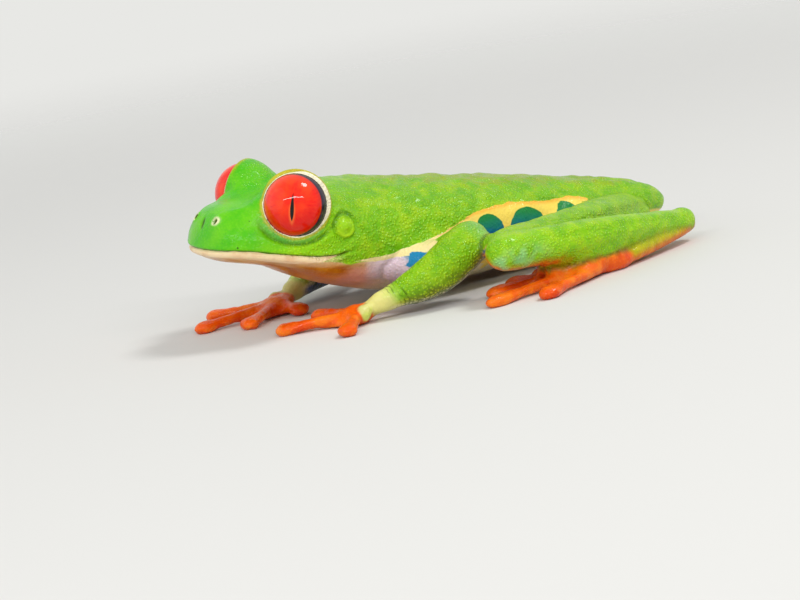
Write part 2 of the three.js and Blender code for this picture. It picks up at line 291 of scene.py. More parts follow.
def nearestPart(points, trees, reach=1.2):
    best = np.full(len(points), 1e9)
    part = np.zeros(len(points), int)
    for name, (tree, low, high) in trees.items():
        near = np.all((points > low - reach) & (points < high + reach), axis=1)
        kind = parts.index(partOf(name))
        for k in np.flatnonzero(near):
            far = tree.find_nearest(points[k], reach)[3]
            if far is not None and far < best[k]:
                best[k] = far
                part[k] = kind
    return part


# sculpting the head: lids, mouth, nostrils and ears

def turnFrom(look, off, reach):  # degrees away from where the eye looks
    return np.degrees(np.arccos(np.clip(off @ look / reach, -1, 1)))


def sculptEye(points, side):
    middle, look, ahead, up = eyeAxes(side)
    off = points - middle
    reach = np.linalg.norm(off, axis=1)
    near = reach < 6.5
    off, reach = off[near], reach[near]
    turn = turnFrom(look, off, reach)
    around = off - (off @ look)[:, None] * look
    around /= np.linalg.norm(around, axis=1)[:, None] + 1e-9
    frontness = ease(around @ ahead, 0.2, 0.95) * ease(-(around @ up), -0.8, 0.3)
    crest = eyeShape["crest"] + (eyeShape["crestFront"] - eyeShape["crest"]) * frontness
    opening = eyeShape["opening"]
    top = opening + eyeShape["rise"]
    rim = eyeShape["seat"] + (crest - eyeShape["seat"]) * ease(turn, opening - 0.5, top)
    keep = (1 - ease(turn, top, opening + eyeShape["blend"])) * (1 - ease(reach, 4.25, 4.9))
    made = reach + (rim - reach) * keep
    inside = (turn < opening) & (reach < 4.3)
    turn = np.where(inside, 180 - (180 - opening) * turn / opening, turn)
    made = np.where(inside, eyeShape["seat"], made)
    angle = np.radians(turn)
    moved = points.copy()
    moved[near] = middle + made[:, None] * (np.cos(angle)[:, None] * look + np.sin(angle)[:, None] * around)
    return moved


mouthShape = {
    "line": [(-1, -0.25), (0.8, -0.1), (2.4, 0.12), (4, 0.16), (5.5, 0.05), (8.5, -0.12), (11.6, -0.2),
             (13.6, 0), (15.1, 0.5)],
    "corner": 15.1, "depth": 0.3, "width": 0.13,
    "lowerLip": 0.13, "upperLip": 0.07,
}


def mouthHeight(u):
    line = np.array(mouthShape["line"])
    return np.interp(u, line[:, 0], line[:, 1])


def sculptMouth(points, normals):
    u, w = points[:, 0], points[:, 2]
    off = w - mouthHeight(u)
    here = (u < 16) & (np.abs(off) < 3)
    end = 1 - ease(u, mouthShape["corner"] - 0.3, mouthShape["corner"] + 0.3)
    move = -mouthShape["depth"] * hill(off, mouthShape["width"])
    move += mouthShape["lowerLip"] * hill(off + 0.5, 0.32)
    move += mouthShape["upperLip"] * hill(off - 0.35, 0.25)
    move -= 0.08 * hill(off + 1.15, 0.3)
    return points + normals * (move * end * here)[:, None]


nostrilShape = {"u": 1.27, "v": 2.35, "w": 3.1, "ring": 0.54, "pit": 0.33, "depth": 0.42, "height": 0.13}
snoutFold = [(1.5, -0.1, 3.5), (0.8, 0.3, 2.75), (0.5, 0.75, 1.9)]
earShape = {"radius": 1.2, "rim": 0.2, "dome": 0.34, "moat": 0.2}
foldLine = [(12.7, 4.7), (14.4, 5.05), (16.3, 4.3), (18.2, 2.4), (19.2, 0.4)]


def surfacePoint(points, place):  # the skin's point nearest to a place
    return points[np.argmin(np.linalg.norm(points - place, axis=1))]


def nostrilPlace(side):
    return np.array([nostrilShape["u"], nostrilShape["v"] * side, nostrilShape["w"]])


def sculptNostril(points, normals, side):
    spot = surfacePoint(points, nostrilPlace(side))
    far = np.linalg.norm(points - spot, axis=1)
    move = nostrilShape["height"] * hill(far - nostrilShape["ring"], 0.17)
    move -= nostrilShape["depth"] * hill(far, nostrilShape["pit"])
    return points + normals * move[:, None]


def earMiddle(side):
    low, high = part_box(f"ear_{'left' if side > 0 else 'right'}")
    return np.array(bodyFromFrame @ ((low + high) / 2))


def sculptEar(points, normals, side):
    middle = earMiddle(side)
    far = np.hypot(points[:, 0] - middle[0], points[:, 2] - middle[2])
    far = np.where(points[:, 1] * side > 5, far, 99)
    radius = earShape["radius"]
    move = earShape["rim"] * hill(far - radius + 0.1, 0.17)
    move -= earShape["moat"] * hill(far - radius - 0.28, 0.2)
    move += earShape["dome"] * (1 - ease(far, 0, radius))
    off, along = polylineDistance(points[:, [0, 2]], foldLine)
    onSide = (points[:, 1] * side > 4) & (points[:, 0] < 22)
    fold = 0.2 * hill(off, 0.5) - 0.12 * hill(off - 0.75, 0.3)
    fold *= ease(along, 0, 0.15) * (1 - ease(along, 0.75, 1))
    return points + normals * (move + fold * onSide)[:, None]


headForms = [  # a line along (u, v, w), its height and its width, in mm
    ([(5.6, 4.3, 4.9), (3.6, 3.4, 4.4), (1.6, 2.3, 3.6)], 0.16, 0.55),  # ridge from eye to nostril
    ([(5.2, 5.9, 2.9), (3.6, 5.0, 2.5), (2.2, 3.9, 2.2)], -0.16, 0.8),  # hollow below it
    ([(9.5, 7.6, -1.5), (13.5, 8.2, -1.85), (17.5, 8.0, -2.1)], -0.26, 0.3),  # throat folds
    ([(8, 6.0, -2.2), (12, 7.1, -2.7), (16.5, 7.4, -3.1)], -0.24, 0.3),
    ([(11, 5.2, -3.2), (15, 6.0, -3.8), (19, 6.2, -4.2)], -0.2, 0.32),
    ([(46, 2.6, 8.2), (54, 1.9, 7.9), (60, 1.2, 7.2)], 0.3, 0.9),  # ridges beside the tail bone
    ([(47, 0, 8.4), (54, 0, 8.1), (60, 0, 7.3)], -0.22, 0.8),
    ([(14.9, 8.6, 0.25), (16.4, 8.6, 0.75), (17.6, 8.5, 0.5)], -0.14, 0.2),  # from the mouth's corner
]


def sculptForms(points, normals, side):
    mirror = np.array([1, side, 1])
    move = np.zeros(len(points))
    for line, height, width in headForms:
        off, along = polylineDistance(points * mirror, line)
        move += height * hill(off, width) * (0.35 + 0.65 * np.sin(np.pi * along))
    if side > 0:
        off, along = polylineDistance(points, snoutFold)
        move -= 0.24 * hill(off, 0.12 + 0.16 * np.sin(np.pi * along))
    return points + normals * move[:, None]


lowerLid = {"groove": 0.34, "lip": 0.12, "fold": 0.1}  # depth, and the heights on its two sides, mm


def lidGroove(ahead):  # the fold under the eye opens out towards both its ends
    return 4.36 + 0.3 * ease(-ahead, 0, 4) + 0.15 * ease(ahead, 1, 4)


def sculptLowerLid(points, normals, side):
    middle, look, ahead, up = eyeAxes(side)
    off = points - middle
    along = off @ look
    around = off - along[:, None] * look
    ring = np.linalg.norm(around, axis=1)
    angle = np.degrees(np.arctan2(around @ up, around @ ahead))
    below = ease(-angle, 25, 60) * ease(180 + angle, 15, 50) * (along > -2.5)
    groove = ring - lidGroove(around @ ahead)
    move = -lowerLid["groove"] * hill(groove, 0.2) + lowerLid["lip"] * hill(ring - 4.08, 0.22)
    move += lowerLid["fold"] * hill(groove - 0.55, 0.35)
    return points + normals * (move * below)[:, None]


# sculpting the body and the limbs

creases = [("body", "upper_arm", 0.3), ("body", "forearm", 0.55), ("upper_arm", "forearm", 0.4),
           ("thigh", "shank", 0.45), ("body", "thigh", 0.25), ("shank", "tarsus", 0.3),
           ("shank", "foot", 0.3)]  # two parts, and the depth of the fold between them, mm


def along(u, pairs):  # a value read off a line through a few (u, value) pairs
    pairs = np.array(pairs)
    return np.interp(u, pairs[:, 0], pairs[:, 1])


def sharesOf(part, edges):  # how much of each part there is at every point
    flags = (part[:, None] == np.arange(len(parts))).astype(float)
    return dict(zip(parts, smoothed(flags, edges, 0.5, 3).T))


def limbPlaces(points, name, towards):  # 0 at the limb's start to 1 at the end next to another node
    made = cadPoints(name) / mm
    middle = made.mean(axis=0)
    way = np.linalg.svd(made - middle, full_matrices=False)[2][0]
    other = cadPoints(towards).mean(axis=0) / mm
    way *= np.sign((other - middle) @ way)
    reach = (made - middle) @ way
    inFrame = (points @ np.array(frameFromBody.to_3x3()).T + np.array(frameFromBody.translation)) / mm
    return ((inFrame - middle) @ way - reach.min()) / (reach.max() - reach.min())


def ownPlaces(points, one, other):  # the same, along the limb on each point's own side
    place = np.zeros(len(points))
    for name, sign in sides.items():
        found = limbPlaces(points, f"{one}_{name}", f"{other}_{name}")
        place = np.where(points[:, 1] * sign > 0, found, place)
    return place


def noiseAt(points, scale, seed=0.0):
    shift = Vector((seed, -seed, 2 * seed))
    return np.array([noise.noise(Vector(point) * scale + shift) for point in points])


def wristKnob(points):  # the pale knob on the outer side of each wrist
    knob = np.zeros(len(points))
    for name, sign in sides.items():
        arm = cadPoints(f"forearm_{name}")
        wristEnd = Vector(arm[arm[:, 1] < arm[:, 1].min() + 0.8 * mm].mean(axis=0))
        spot = np.array(bodyFromFrame @ (wristEnd + Vector((0.8 * sign, -1.1, -0.1)) * mm))
        far = np.linalg.norm((points - spot) * [1.1, 0.9, 0.75], axis=1)
        knob = np.maximum(knob, 1 - ease(far, 0.4, 1.3))
    return knob


def slopesOf(points, normals, edges):  # how far the surface faces up, and away from the middle
    turned = np.array(bodyFromFrame.to_3x3()) * mm
    skyward = normals @ (turned @ np.array([0, 0, 1]))
    outward = np.sign(points[:, 1]) * (normals @ (turned @ np.array([1, 0, 0])))
    return [smoothed(value, edges, 0.5, 4) for value in (skyward, outward)]


relief = {  # how far noise, muscles and the wrist's knob move the skin, mm
    "back": (0.16, 0.14), "limbs": (0.1, 0.09), "flank": 0.12, "muscle": 0.17, "knob": 0.6, "digits": 0.06,
}


def sculptBody(points, normals, part, edges):
    share = sharesOf(part, edges)
    skyward, outward = slopesOf(points, normals, edges)
    move = np.zeros(len(points))
    legPlace = ownPlaces(points, "shank", "tarsus")
    armPlace = ownPlaces(points, "forearm", "hand")
    for one, other, depth in creases:
        both = 4 * share[one] * share[other]
        if one == "upper_arm":
            both = both * ease(armPlace, 0.18, 0.4)
        if other == "shank":
            both = both * ease(legPlace, 0.1, 0.25)
        if other in ("tarsus", "foot"):
            both = both * (1 - ease(legPlace, 0.8, 0.95))
        move -= depth * both
    u, w = points[:, 0], points[:, 2]
    back = ease(u, 11, 20) * share["body"] * ease(w, 2, 6)
    limbs = share["forearm"] + share["thigh"] + share["shank"]
    broad, fine = noiseAt(points, 0.35, 3.0), noiseAt(points, 0.8, 11.0)
    for place, (broadly, finely) in ((back, relief["back"]), (limbs, relief["limbs"])):
        move += (broadly * broad + finely * fine) * place
    flank = share["body"] * ease(-w, -3, 0) * ease(u, 18, 24)
    move += relief["flank"] * noiseAt(points * [2.2, 1, 0.7], 0.5, 5.0) * flank
    muscle = hill(skyward - 0.35 - 0.1 * fine, 0.16) * ease(outward, 0.3, 0.7)
    calf = share["shank"] * ease(legPlace, 0.08, 0.3) * (1 - ease(legPlace, 0.6, 0.95))
    move -= relief["muscle"] * muscle * (share["thigh"] + calf)
    move += relief["knob"] * wristKnob(points) * (share["hand"] + share["forearm"])
    digits = share["hand"] + share["foot"]
    move += relief["digits"] * noiseAt(points, 1.3, 21.0) * digits
    return points + normals * move[:, None]


# making the skin

shoulderForm = {"at": (20.5, 8.2, -2.5), "reach": 2.9, "rounds": 90}  # where each arm melts into the chest


def shoulderMask(points):
    onOneSide = np.abs(points) * [1, 1, 0] + points * [0, 0, 1]
    return hill(np.linalg.norm(onOneSide - shoulderForm["at"], axis=1), shoulderForm["reach"])


def inHead(points):
    return points[:, 0] < 17.2


def nearDetail(points):
    u, w = points[:, 0], points[:, 2]
    chosen = (u < 15.8) & (np.abs(w - mouthHeight(u) + 0.15) < 0.75)
    for side in sides.values():
        middle, look, _, _ = eyeAxes(side)
        off = points - middle
        reach = np.linalg.norm(off, axis=1)
        turn = turnFrom(look, off, reach)
        chosen |= (reach < 4.7) & (np.abs(turn - eyeShape["opening"] - 2) < 10)
        chosen |= np.linalg.norm(points - nostrilPlace(side), axis=1) < 1.1
    return chosen


def skinMesh():
    mesh = remeshed(fleshMesh(), skinForm["firstVoxel"])
    setPoints(mesh, pointsOf(mesh) + normalsOf(mesh) * skinForm["swell"])
    mesh = remeshed(mesh, skinForm["voxel"])
    print("skin: rough form,", len(mesh.polygons), "faces")
    trees = partTrees()
    part = nearestPart(pointsOf(mesh), trees)
    edges = edgesOf(mesh)
    pace, fullness = np.array([partForm[name] for name in parts]).T
    faired(mesh, smoothed(pace[part], edges, 0.5, 4), skinForm["fairing"])
    points = pointsOf(mesh)
    setPoints(mesh, smoothed(points, edges, 0.5 * shoulderMask(points), shoulderForm["rounds"]))
    points, normals = pointsOf(mesh), normalsOf(mesh)
    shrink = skinForm["swell"] - fullness[part]
    setPoints(mesh, points - normals * smoothed(shrink, edges, 0.5, 4)[:, None])
    refined(mesh, inHead)
    points = smoothed(pointsOf(mesh), edgesOf(mesh), 0.5 * inHead(pointsOf(mesh)), 3)
    setPoints(mesh, points)
    refined(mesh, nearDetail)
    print("skin: refined,", len(mesh.polygons), "faces")
    points = smoothed(pointsOf(mesh), edgesOf(mesh), 0.5 * nearDetail(pointsOf(mesh)), 3)
    setPoints(mesh, points)
    points = sculptBody(points, normalsOf(mesh), nearestPart(points, trees), edgesOf(mesh))
    setPoints(mesh, points)
    for side in sides.values():
        points = sculptForms(points, normalsOf(mesh), side)
        setPoints(mesh, points)
    for side in sides.values():
        points = sculptEye(points, side)
    setPoints(mesh, points)
    for side in sides.values():
        points = sculptLowerLid(points, normalsOf(mesh), side)
        points = sculptEar(points, normalsOf(mesh), side)
        setPoints(mesh, points)
    points = sculptMouth(points, normalsOf(mesh))
    setPoints(mesh, points)
    for side in sides.values():
        points = sculptNostril(points, normalsOf(mesh), side)
        setPoints(mesh, points)
    print("skin: sculpted")
    return thinned(mesh, skinForm["mostTriangles"]), trees


# the markings, worked out for every point of the skin

paints = {
    "snout": "50c406", "cheek": "a2e60a", "back": "86c808", "backLight": "b2d814", "backDark": "5cac06",
    "ridge": "9aa80c", "limb": "8eca06", "limbEdge": "b8bc1c", "shade": "2a7408", "stipple": "4c5c08",
    "throat": "b4620e", "throatLow": "d0741e", "belly": "f0e2c2", "lilac": "f2d2ee", "pink": "f2aca4",
    "blue": "1c86b8", "inner": "5560c4",
    "orange": "fc5404", "deepOrange": "ea3c02", "paleOrange": "ff7a16", "wrist": "e4dc8c", "knob": "d6dc6c",
    "mint": "9ce0b4", "yellow": "fcdc5e", "cream": "f6e2a2", "stripeOrange": "f8a826",
    "patchTop": "12843a", "patchMid": "067e62", "patchLow": "145aa6",
    "lip": "f3d8ac", "lipDark": "e4b88a", "lid": "f6eccc", "lidTop": "c8b80e", "lidEdge": "d8b83c",
    "lowerLid": "56b84e", "nostril": "3a1c08", "nostrilRing": "f2ecc8", "dark": "182406", "mouth": "4a3008",
    "shankTint": "181400", "dot": "14200a",
}
greenEdge = [(0, -0.2), (2.4, 0.1), (10.2, -0.25), (11.8, -0.7), (15.5, -0.8), (17, -0.5), (19.9, -0.02),
             (22.3, 0.65), (24.3, 1.3), (26.6, 2.3), (28.8, 3.35), (31.3, 4.7), (34.6, 5.48), (36.8, 5.85),
             (42.1, 5.95), (45.8, 6.46), (48.1, 6.3), (50, 5.6), (54, 4.9), (62, 4.6)]
stripeBand = [(0, 0), (15.5, -0.1), (17.5, 0.3), (19, 0.55), (21.5, 0.55), (25.8, 0.95), (28.7, 0.5),
              (30.5, 0.85), (32, 0.7), (62, 0.6)]
windowTop = [(22, 0.6), (26, 1), (28.7, 0.55), (31, 0.32)]  # how far the windows stay below the green
windowsAt = [  # station, half width, height of the shoulders, rise above, slant
    (26.6, 4.1, 0.4, 2.6, 0.45), (33.4, 2.05, 2.5, 2.1, 0.12), (39.0, 2.75, 2.6, 2.75, 0.12),
    (44.8, 1.75, 4.0, 1.9, 0.12), (48.6, 1.3, 3.4, 1.6, 0.12)]
windowFoot = [(26, -1.2), (29, 0.4)]  # the height at which the windows end
bellyEdge = [(34, -1), (37, 4.4), (42, 4.2), (46, 3.7), (51, 3.0)]  # plain nearer the middle than this


def windowDepth(u, w):  # mm inside the nearest blue window of the flank
    best = np.full(len(u), -9.0)
    for station, half, shoulder, rise, slant in windowsAt:
        ahead = slant * (shoulder - np.minimum(w, shoulder))
        reach = np.hypot((u - station + ahead) / half, np.maximum(w - shoulder, 0) / rise)
        best = np.maximum(best, half * (1 - reach))
    return np.minimum(best, w - along(u, windowFoot))


shadedFolds = [("body", "forearm", 0.8), ("upper_arm", "forearm", 0.6), ("thigh", "shank", 0.5),
               ("forearm", "shank", 0.8), ("forearm", "thigh", 0.8), ("body", "thigh", 0.3),
               ("shank", "foot", 0.7), ("shank", "tarsus", 0.3)]


def paintSkin(mesh, trees):
    points, normals, edges = pointsOf(mesh), normalsOf(mesh), edgesOf(mesh)
    part = nearestPart(points, trees)
    share = sharesOf(part, edges)
    u, w = points[:, 0], points[:, 2]
    side = np.sign(points[:, 1])
    v = np.abs(points[:, 1])
    skyward, outward = slopesOf(points, normals, edges)
    tone = {name: colour(text) for name, text in paints.items()}
    lumps, fine, blotch = noiseAt(points, 0.35), noiseAt(points, 1.1, 7.0), noiseAt(points, 0.6, 13.0)
    streaks = noiseAt(points * [0.3, 1, 1.6], 1.0, 17.0)

    def plain(name):
        return np.tile(tone[name], (len(points), 1))

    def tinted(paint, name, amount):  # a paint, moved towards one of the named ones
        return mixed(paint, tone[name], amount)

    # the body: green above, cream below, with a lilac and blue side between them
    depth = along(u, greenEdge) - w + 0.35 * share["upper_arm"]
    onStripe = ease(u, 14, 15) * (1 - ease(u, 50, 51))
    green = tinted(plain("snout"), "cheek", ease(u - 0.9 * w + lumps, 3.5, 9.5) * ease(v, 3, 6))
    green = tinted(green, "back", ease(u + 2 * lumps, 9, 17))
    green = tinted(green, "backLight", 0.6 * ease(blotch + fine, 0.05, 0.6) * ease(u, 12, 18))
    green = tinted(green, "backDark", 0.45 * ease(-blotch - fine, 0.15, 0.6) * ease(u, 12, 18))
    green = tinted(green, "ridge", 0.75 * ease(w + fine, 7.4, 8.6) * ease(u, 16, 24))
    below = tinted(plain("lipDark"), "throat", ease(-w + 0.4 * streaks, 0.9, 1.6))
    below = tinted(below, "throatLow", ease(-w + 0.9 * streaks, 1.9, 3.6))
    below = tinted(below, "pink", 0.9 * ease(u + 0.6 * fine, 14.5, 17) * ease(-w, 1, 1.8))
    below = tinted(below, "lilac", ease(u + 0.4 * w + 0.7 * fine, 16.6, 18.4))
    below = tinted(below, "blue", ease(u + 0.7 * w + 0.5 * lumps, 21.3, 22.5))
    chest = ease(-w + fine * 0.5, 2.6, 3.8) * ease(u, 13, 17)
    below = tinted(below, "throatLow", 0.75 * chest)
    yellow = tinted(plain("cream"), "yellow", ease(u, 25, 33))
    yellow = tinted(yellow, "stripeOrange", 0.7 * (1 - ease(depth, 0.1, 0.5)) * ease(u, 23, 31))
    blues = tinted(plain("patchTop"), "patchMid", ease(depth, 0.9, 1.9))
    blues = tinted(blues, "patchLow", ease(depth + 0.5 * fine, 1.7, 3.4))
    blues = mixed(plain("blue"), blues, ease(u, 25, 29))
    window = windowDepth(u, w)
    below = mixed(below, mixed(yellow, blues, ease(window, -0.1, 0.1)), ease(u, 23.2, 24.4))
    below = tinted(below, "belly", ease(-w + 0.4 * lumps, 1.7, 3.3) * ease(u, 22, 25))
    below = tinted(below, "yellow", ease(u, 49, 52))
    below = tinted(below, "belly", ease(-skyward + 0.3 * fine, 0.6, 0.9) * ease(u, 17, 25))
    body = mixed(green, below, ease(depth - 0.25 * onStripe, -0.06, 0.06))

    # limbs: green outside and above, paler below, and blue or orange where they face the body
    facing = 0.75 * skyward + 0.65 * outward + 0.15 * fine
    limbGreen = tinted(plain("limb"), "backLight", 0.5 * ease(blotch + fine, 0, 0.6))
    limbGreen = tinted(limbGreen, "backDark", 0.4 * ease(-blotch - fine, 0.15, 0.6))
    armFacing = 0.95 * skyward + 0.5 * outward + 0.15 * fine
    forearm = tinted(plain("inner"), "belly", ease(armFacing, -0.8, -0.5))
    forearm = tinted(forearm, "limbEdge", ease(armFacing, -0.45, -0.15))
    forearm = mixed(forearm, limbGreen, ease(armFacing, -0.2, 0.25))
    armPlace = ownPlaces(points, "forearm", "hand")
    forearm = tinted(forearm, "wrist", ease(armPlace + 0.04 * fine, 0.76, 0.9))
    # a painted bluish-white sheen on the upper side of each elbow
    mint = ease(0.2 - armPlace, 0, 0.2) * ease(skyward, 0.2, 0.8) * ease(outward, -0.2, 0.5)
    forearm = tinted(forearm, "mint", 0.35 * mint)
    upperArm = mixed(green, tinted(plain("lilac"), "blue", ease(u + 0.7 * w + 0.5 * lumps, 21.3, 22.5)),
                     ease(depth - 0.25, -0.06, 0.06))
    upperArm = mixed(upperArm, limbGreen, ease(u + skyward, 28, 29.5) * ease(facing, -0.1, 0.3))
    thigh = tinted(plain("inner"), "yellow", ease(facing, -0.1, 0.05))
    thigh = mixed(thigh, limbGreen, ease(facing, 0.02, 0.2))
    thigh = tinted(thigh, "paleOrange", ease(-skyward, 0.3, 0.7))
    shank = tinted(plain("paleOrange"), "limbEdge", ease(facing, -0.4, -0.1))
    shank = mixed(shank, 1.12 * limbGreen + tone["shankTint"], ease(facing, -0.15, 0.15))
    legPlace = ownPlaces(points, "shank", "tarsus")
    # a painted bluish-white sheen on the knee's lower outer side
    kneeSheen = (1 - ease(legPlace, 0.05, 0.25)) * ease(outward - 0.8 * skyward, 0.4, 1.1)
    shank = tinted(shank, "mint", 0.6 * kneeSheen * ease(fine, -0.5, 0.3))
    hand = tinted(plain("deepOrange"), "orange", ease(skyward + fine, -0.6, 0.3))
    hand = tinted(hand, "paleOrange", 0.6 * ease(fine + lumps, 0, 0.5))
    tarsus = mixed(shank, hand, 0.35 + 0.5 * ease(-skyward, -0.2, 0.5))
    layers = [body, upperArm, forearm, hand, thigh, shank, tarsus, hand]
    paint = sum(share[name][:, None] * layer for name, layer in zip(parts, layers))
    knob = ease(wristKnob(points), 0.2, 0.6) * ease(share["forearm"] + share["hand"], 0.4, 0.8)
    paint = mixed(paint, tinted(plain("wrist"), "knob", ease(outward - skyward, 0.3, 0.9)), knob)
    # painted shade along the snout's fold
    off, place = polylineDistance(points, snoutFold)
    paint = tinted(paint, "dark", 0.95 * hill(off, 0.08 + 0.14 * np.sin(np.pi * place)))
    for one, other, dark in shadedFolds:
        both = 4 * share[one] * share[other]
        if other == "shank":
            both = both * ease(legPlace, 0.1, 0.25)
        paint = paint * (1 - dark * both ** 2)[:, None]

    # the crisp markings: distances in mm, above 0 inside
    isBody = share["body"] + share["upper_arm"] > 0.5
    bottom = np.where(u < 31, along(u, greenEdge) - along(u, stripeBand), -1.2)
    besideBelly = v - along(u, bellyEdge)
    stripe = np.minimum(np.minimum(depth, w - bottom), besideBelly)
    stripe = np.where(isBody & (u > 14) & (u < 51), stripe, -1)
    patch = np.minimum(np.minimum(window, depth - along(u, windowTop)), besideBelly)
    patch = np.where(isBody & (u > 21.5) & (u < 51), patch, -1)
    under = w - mouthHeight(u)
    lipDeep = along(u, [(0, 0.7), (6, 1.0), (9.5, 0.95), (12, 0.5), (14.2, -0.1)])
    lip = np.minimum(-under + 0.02, under + lipDeep)
    lip = np.where(u < 15, lip, -1)
    lipEnd = ease(u, 10, 12) * (1 - ease(u, 12.5, 15))
    paint = tinted(paint, "lip", 0.7 * hill(under + 0.45, 0.4) * lipEnd)
    # a dark line along the mouth is painted shade in its crease
    paint = tinted(paint, "mouth", 0.8 * hill(under, 0.1) * (1 - ease(u, 14.6, 15.6)))

    # ears and nostrils
    earDisc = np.zeros(len(points))
    for sign in sides.values():
        ear = earMiddle(sign)
        far = np.where(side == sign, np.hypot(u - ear[0], w - ear[2]), 99)
        earDisc += 1 - ease(far, 1.05, 1.25)
        # a painted highlight along the ear's lower rim, and painted shade above the ear
        paint = tinted(paint, "backLight", 0.6 * hill(far - 1.05, 0.2) * ease(ear[2] - w, -0.2, 0.8))
        aboveEar = ease(w - ear[2] + 0.5 * (ear[0] - u), -0.2, 1)
        paint = tinted(paint, "shade", 0.7 * hill(far - 1.5, 0.3) * aboveEar)
        spot = surfacePoint(points, nostrilPlace(sign))
        far = np.linalg.norm(points - spot, axis=1)
        paint = tinted(paint, "nostrilRing", 0.95 * hill(far - nostrilShape["ring"], 0.12))
        # the dark pit is painted shade of the nostril's opening
        paint = tinted(paint, "nostril", 1 - ease(far, 0.34, 0.46))
    paint = tinted(paint, "backLight", 0.35 * earDisc)

    # pale rings round the eyes, and the lower lid
    lid = np.full(len(points), -1.0)
    opening = eyeShape["opening"]
    for sign in sides.values():
        middle, look, ahead, up = eyeAxes(sign)
        off = points - middle
        reach = np.linalg.norm(off, axis=1)
        turn = turnFrom(look, off, reach)
        around = off - (off @ look)[:, None] * look
        ring = np.linalg.norm(around, axis=1)
        around /= ring[:, None] + 1e-9
        rearTop = ease(around @ (-0.86 * ahead + 0.5 * up), 0.25, 0.95)
        wide = 2.2 + 4.2 * rearTop
        thick = 0.16 + 0.4 * rearTop
        ringEdge = np.minimum((opening + wide - turn) * 0.07, eyeShape["seat"] + thick - reach)
        lid = np.maximum(lid, np.where(reach < 5, ringEdge, -1))
        aroundEdge = hill(ringEdge + 0.12, 0.13) * ease(turn, 40, 60) * (reach < 4.8)
        top = ease(around @ (0.95 * up - 0.2 * ahead), 0.2, 0.75) * ease(turn, opening, opening + 4)
        top *= 1 - ease(turn - wide, opening + 5, opening + 14)
        paint = tinted(paint, "lidTop", 0.85 * top * (reach < 4.6))
        beneath = ease(-(around @ up), 0.3, 0.75) * (1 - ease(reach, 5.2, 5.8))
        lower = beneath * (1 - ease(ring, 4.15, 4.4)) * (reach < 5.2)
        paint = tinted(paint, "lowerLid", 0.7 * lower)
        groove = ring - lidGroove((around @ ahead) * ring)
        paint = tinted(paint, "shade", 0.85 * beneath * hill(groove, 0.2))
        paint = tinted(paint, "lidEdge", 0.85 * aroundEdge)

    # how strongly the granules, the arm's stipple and the wrist's creases show
    limbs = share["forearm"] + share["thigh"] + share["shank"]
    grain = (0.25 + 0.75 * ease(u, 4, 12)) * share["body"] + limbs
    grain += 0.4 * (share["upper_arm"] + share["tarsus"])
    grain *= 1 - 0.75 * ease(depth, -0.1, 0.2) * share["body"]
    grain *= (1 - 0.85 * share["forearm"] * ease(armPlace, 0.74, 0.84)) * (1 - 0.65 * earDisc)
    grain = np.maximum(grain, 0.12 + 0.14 * (share["hand"] + share["foot"]))
    wrist = armPlace * ease(share["forearm"], 0.3, 0.7)
    stipple = share["forearm"] * ease(0.5 - facing, -0.35, 0.45) * (1 - ease(armPlace, 0.7, 0.85))
    for name, values in {"paint": paint, "yellowPaint": yellow, "bluePaint": blues}.items():
        layer = mesh.attributes.new(name, "FLOAT_COLOR", "POINT")
        solid = np.column_stack([values, np.ones(len(points))])
        layer.data.foreach_set("color", solid.astype(np.float32).ravel())
    marks = {"stripe": stripe, "patch": patch, "lip": lip, "lid": lid}
    marks.update({"grain": grain, "stipple": stipple, "wrist": wrist})
    for name, values in marks.items():
        layer = mesh.attributes.new(name, "FLOAT", "POINT")
        layer.data.foreach_set("value", values.astype(np.float32))


# materials

def newMaterial(name):
    material = bpy.data.materials.new(name)
    material.use_nodes = True
    return material, material.node_tree, material.node_tree.nodes["Principled BSDF"]


def addNode(tree, kind, links=None, **settings):
    node = tree.nodes.new(f"ShaderNode{kind}")
    for name, value in settings.items():
        setattr(node, name, value)
    for name, value in (links or {}).items():
        socket = node.inputs[name]
        if isinstance(value, bpy.types.NodeSocket):
            tree.links.new(value, socket)
        else:
            socket.default_value = value
    return node


glossSockets = {
    "roughness": "Roughness", "shine": "Specular IOR Level", "coat": "Coat Weight",
    "coatRoughness": "Coat Roughness", "coatIor": "Coat IOR", "glow": "Subsurface Weight",
    "glowRadius": "Subsurface Radius", "glowScale": "Subsurface Scale",
}


def setGloss(shader, look):  # whatever gloss a dictionary of looks states
    for name, socket in glossSockets.items():
        if name in look and not shader.inputs[socket].is_linked:
            shader.inputs[socket].default_value = look[name]


def attributeOf(tree, name, kind="Fac"):
    return addNode(tree, "Attribute", attribute_name=name).outputs[kind]


def noiseOf(tree, place, scale, detail, roughness=0.5):
    links = {"Vector": place, "Scale": scale, "Detail": detail, "Roughness": roughness}
    return addNode(tree, "TexNoise", links).outputs["Fac"]


def mathOf(tree, operation, a, b=0.0):
    return addNode(tree, "Math", {0: a, 1: b}, operation=operation).outputs[0]


def plus(tree, a, b):
    return mathOf(tree, "ADD", a, b)


def minus(tree, a, b):
    return mathOf(tree, "SUBTRACT", a, b)


def times(tree, a, b):
    return mathOf(tree, "MULTIPLY", a, b)


def stepOf(tree, value, low, high):
    links = {"Value": value, "From Min": low, "From Max": high}
    return addNode(tree, "MapRange", links, interpolation_type="SMOOTHSTEP").outputs["Result"]


def mixOf(tree, share, a, b, blend="MIX"):
    node = addNode(tree, "Mix", data_type="RGBA", blend_type=blend)
    for name, value in (("Factor", share), ("A", a), ("B", b)):
        kind = "VALUE" if name == "Factor" else "RGBA"
        socket = next(s for s in node.inputs if s.name == name and s.type == kind)
        if isinstance(value, bpy.types.NodeSocket):
            tree.links.new(value, socket)
        else:
            socket.default_value = value
    return next(s for s in node.outputs if s.type == "RGBA")


